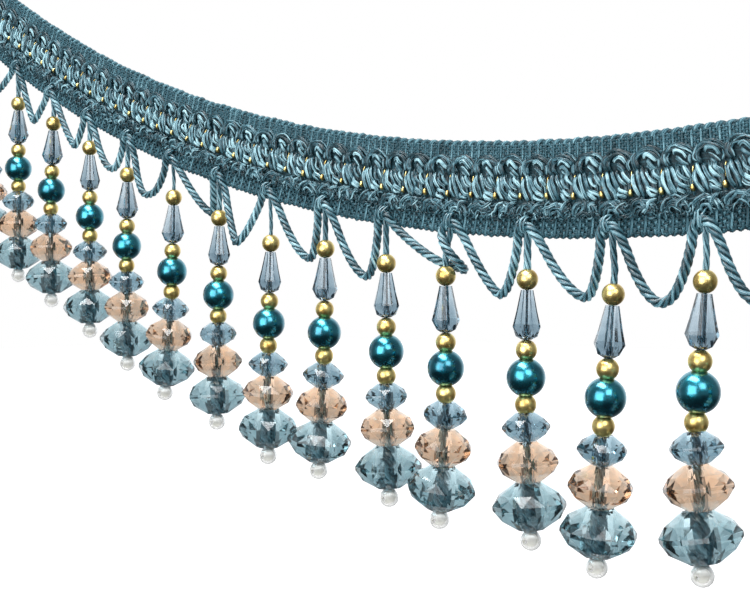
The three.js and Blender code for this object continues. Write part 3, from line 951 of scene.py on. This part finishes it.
# How each drop's rondelles sit askew, as a share of their tilt: positive lifts the near side
beadTilt = randomDraw.uniform(-1, 1, swag["drops"])
beadTilt[[9, 10, 11, 12, 13]] = (0.4, -1.0, 0.5, -0.9, 1.6)

# Where a rondelle's rings are, as shares of its radius and of half its height, and how deep its bore begins
rondelleCut = {"middle": 0.82, "foot": (0.54, 0.1), "neck": (0.08, 0.52), "boreEdge": 0.25}


# A cut rondelle from foot to neck. Triangles lead from each table to the girdle, whose facets stand upright.
def rondelle(size, sides=10):
    centre, radius, half = size["centre"], size["radius"], size["half"]
    table, bore = size["table"], size["bore"]
    middle, boreHalf = radius * rondelleCut["middle"], half - rondelleCut["boreEdge"]
    footMiddle, footGirdle = rondelleCut["foot"]
    neckGirdle, neckMiddle = rondelleCut["neck"]
    profile = [
        (table, centre + half),
        (middle, centre + half * footMiddle),
        (radius, centre + half * footGirdle),
        (radius, centre - half * neckGirdle),
        (middle, centre - half * neckMiddle),
        (table, centre - half),
        (bore, centre - boreHalf),
        (bore, centre + boreHalf),
    ]
    twist = np.array([0, 1, 1, 0, 1, 1, 0, 0])
    return beads(profile, sides, True, twist, size["tilt"] * beadTilt)


def teardrop(size, sides=8):
    low = size["bottom"] - size["belly"]
    profile = [
        (size["foot"], size["bottom"]),
        (size["widest"] * 0.72, size["bottom"] - 0.24 * low),
        (size["widest"], size["belly"]),
        (size["widest"] * 0.76, size["belly"] - 3.6),
        (size["neck"], size["top"] + 0.2),
        (size["bore"], size["top"] + 0.3),
        (size["bore"], size["bottom"] - 0.2),
    ]
    return beads(profile, sides, False, np.array([0, 1, 1, 0, 0, 0, 0]))


def roundBeads(size):
    return [beads(roundProfile(size, centre), size["sides"], False) for centre in size["centres"]]


goldBeads = roundBeads(beadSizes["gold"])
pearlBeads = roundBeads(beadSizes["pearl"])
stackParts = ("teardrop", "pearl", "rondelles")
nodeNames = {part: [f"drop_{n:02d}_{part}" for n in dropNumbers] for part in stackParts}

teardrops = [teardrop(beadSizes["teardrop"])]
rondelles = {part: [rondelle(beadSizes[part])] for part in ("small", "peach", "large")}
for name, grids, material, part, slot, cutFacets in (
    ("goldBeads", goldBeads, goldMetal, "pearl", "gold_bead", False),
    ("cutTeardrops", teardrops, greyBlueClear, "teardrop", "grey_blue_crystal", True),
    ("roundPearls", pearlBeads, pearlLacquer, "pearl", "teal_pearl", False),
    ("smallRondelles", rondelles["small"], blueClear, "rondelles", "teal_crystal", True),
    ("peachRondelles", rondelles["peach"], peachClear, "rondelles", "peach_crystal", True),
    ("largeRondelles", rondelles["large"], tealClear, "rondelles", "teal_crystal", True),
):
    piece = addPiece(name, grids, material, closedRows=True, cut=cutFacets)
    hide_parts(*nodeNames[part])


# The stopper is strung sideways, so its bore faces the front: a round bead turned about the front axis.
def stoppers(size):
    profile = roundProfile(size, 0.0)
    angle = evenAngles(size["sides"])[None, None, :]
    shape = (swag["drops"], len(profile), size["sides"])
    side = np.broadcast_to(profile[None, :, :1] * np.cos(angle), shape)
    down = np.broadcast_to(size["centre"] + profile[None, :, :1] * np.sin(angle), shape)
    front = np.broadcast_to(profile[None, :, 1:], shape)
    return {"points": onDrops(side, front, down, True)}


stopperBeads = addPiece("clearStoppers", [stoppers(beadSizes["stopper"])], plainClear, closedRows=True)
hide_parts(*nodeNames["rondelles"])

# The drop threads: from behind the cord's arch down through every bead to the stopper. A root is its share
# of the drop's aside, how far back it is and how high above the edge. radius is that of each place in down,
# and above freeTo it is the drop's own.
thread = {
    "lay": 13.0,
    "reachShare": 0.6,
    "yarnShare": 0.45,
    # painted shade: how much darker the plies turn towards the thread's axis
    "paintedGrooveShade": 0.5,
    "rings": 125,
    "roots": ((0.0, -1.2, 2.2), (0.2, -1.1, 0.6)),
    "top": -3.0,
    "aboveStopper": 2.2,
    "freeTo": 1.5,
    "tones": (0.62, 0.8, 0.5, 0.7),
    "down": (-9, 1.5, 3, 36, 37.5, 43, 45, 53.5, 55, 65.5, 67),
    "radius": (1, 1, 0.62, 0.62, 1.2, 1.2, 1.05, 1.05, 2.4, 2.4, 0.45),
}


# Plies round each drop's line, at reachShare and as thick as yarnShare of the radius there.
def dropThreads():
    bottom = beadSizes["stopper"]["centre"] - thread["aboveStopper"]
    down = np.linspace(thread["top"], bottom, 60)
    zero = np.zeros((swag["drops"], len(down)))
    down = np.broadcast_to(down, zero.shape)
    inside = np.where(
        (down < lowerStart)[..., None], onDrops(zero, zero, down, False), onDrops(zero, zero, down, True)
    )
    along = dropAlong + archAlong
    roots = np.stack([onSwag(along + aside * share, back, up) for share, back, up in thread["roots"]], 1)
    lines = evenly(np.concatenate([roots, inside], 1), thread["rings"])
    run = runAlong(lines)
    run = run - run[:, -1:] + bottom
    radius = np.interp(run, thread["down"], thread["radius"])
    radius = np.where(run < thread["freeTo"], threadRadius[:, None], radius)
    reach, yarn = radius * thread["reachShare"], radius * thread["yarnShare"]
    starts, tones = evenAngles(len(thread["tones"])), thread["tones"]
    return [plies(lines, starts, thread["lay"], reach, yarn, 5, tone=tones, paintedGrooveShade=thread["paintedGrooveShade"])]


threads = addPiece("dropThreads", dropThreads(), cordYarn)
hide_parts("fringe")
print("stage: cord, threads and beads made")

# Floor, light and camera
studio = {
    "floorHeight": -0.42,
    "floorSize": 14.0,
    "backdrop": 1.0,
    "behind": (-0.661, 0.75, 0.0),
    "depthRange": (0.2, 0.85),
    "depthLight": (0.26, 1.15),
    "lowRange": (-0.45, -0.05),
    "lowLight": (0.2, 1.0),
    "colour": (0.93, 0.97, 1.0, 1),
    "lights": [
        {"name": "frontSoftbox", "place": (0.05, -0.66, 0.08), "size": (0.55, 0.55), "watts": 3.6},
        {"name": "upperSoftbox", "place": (0.62, -0.40, 0.36), "size": (0.42, 0.42), "watts": 2.6},
        {"name": "topSoftbox", "place": (0.0, -0.22, 0.62), "size": (0.6, 0.3), "watts": 7.5},
    ],
    "target": (0.1, 0.0, -0.03),
}


def addFloor():
    size, height = studio["floorSize"] / 2, studio["floorHeight"]
    mesh = bpy.data.meshes.new("floor")
    corners = [(-size, -size, height), (size, -size, height), (size, size, height), (-size, size, height)]
    mesh.from_pydata(corners, [], [(0, 1, 2, 3)])
    material, tree, shader = newMaterial("paleFloor")
    setSockets(shader, {
        "Base Color": (0.9, 0.9, 0.9, 1), "Roughness": 0.9, "Specular IOR Level": 0.0,
        "Emission Color": (1, 1, 1, 1), "Emission Strength": 0.9,
    })
    mesh.materials.append(material)
    floor = addObject("floor", mesh)
    floor.visible_glossy = False


# The surroundings: white where the camera looks. For the light on the object they are bright behind it,
# dimmer in front and dark below.
def addSurroundings():
    world = bpy.data.worlds.new("surroundings")
    bpy.context.scene.world = world
    world.use_nodes = True
    tree = world.node_tree
    link = tree.links.new
    tree.nodes.clear()
    output = addNode(tree, "ShaderNodeOutputWorld")
    place = addNode(tree, "ShaderNodeTexCoord")
    parts = addNode(tree, "ShaderNodeSeparateXYZ")
    link(place.outputs["Generated"], parts.inputs["Vector"])
    behind = addNode(tree, "ShaderNodeVectorMath", {"operation": "DOT_PRODUCT"})
    behind.inputs[1].default_value = studio["behind"]
    link(place.outputs["Generated"], behind.inputs[0])
    depth = behind.outputs["Value"]
    strength = addNode(tree, "ShaderNodeMath", {"operation": "MULTIPLY"})
    link(carried(tree, depth, studio["depthRange"], studio["depthLight"], "SMOOTHSTEP"), strength.inputs[0])
    height = parts.outputs["Z"]
    link(carried(tree, height, studio["lowRange"], studio["lowLight"], "SMOOTHSTEP"), strength.inputs[1])
    around = addNode(tree, "ShaderNodeBackground", Color=studio["colour"])
    link(strength.outputs["Value"], around.inputs["Strength"])
    seen = addNode(tree, "ShaderNodeBackground", Color=(1, 1, 1, 1), Strength=studio["backdrop"])
    path = addNode(tree, "ShaderNodeLightPath")
    mix = addNode(tree, "ShaderNodeMixShader")
    link(path.outputs["Is Camera Ray"], mix.inputs["Fac"])
    link(around.outputs["Background"], mix.inputs[1])
    link(seen.outputs["Background"], mix.inputs[2])
    link(mix.outputs["Shader"], output.inputs["Surface"])


def addLight(light):
    data = bpy.data.lights.new(light["name"], "AREA")
    data.shape = "RECTANGLE"
    data.size, data.size_y = light["size"]
    data.energy = light["watts"]
    lamp = addObject(light["name"], data)
    lamp.location = light["place"]
    towards = Vector(studio["target"]) - lamp.location
    lamp.rotation_euler = towards.to_track_quat("-Z", "Y").to_euler()


addFloor()
addSurroundings()
for light in studio["lights"]:
    addLight(light)
bpy.context.scene.view_settings.view_transform = "Standard"

# The camera is level, at the photo's angle from the trim's front
viewpoint = {"place": (0.2546, -0.2461, -0.0543), "turn": 41.41, "lens": 55.2}
cameraData = bpy.data.cameras.new("camera")
cameraData.lens = viewpoint["lens"]
cameraData.sensor_width = 36
cameraData.clip_start = 0.01
camera = addObject("camera", cameraData)
camera.location = viewpoint["place"]
camera.rotation_euler = (math.radians(90), 0, math.radians(viewpoint["turn"]))
bpy.context.scene.camera = camera

print("stage: floor, light and camera set")
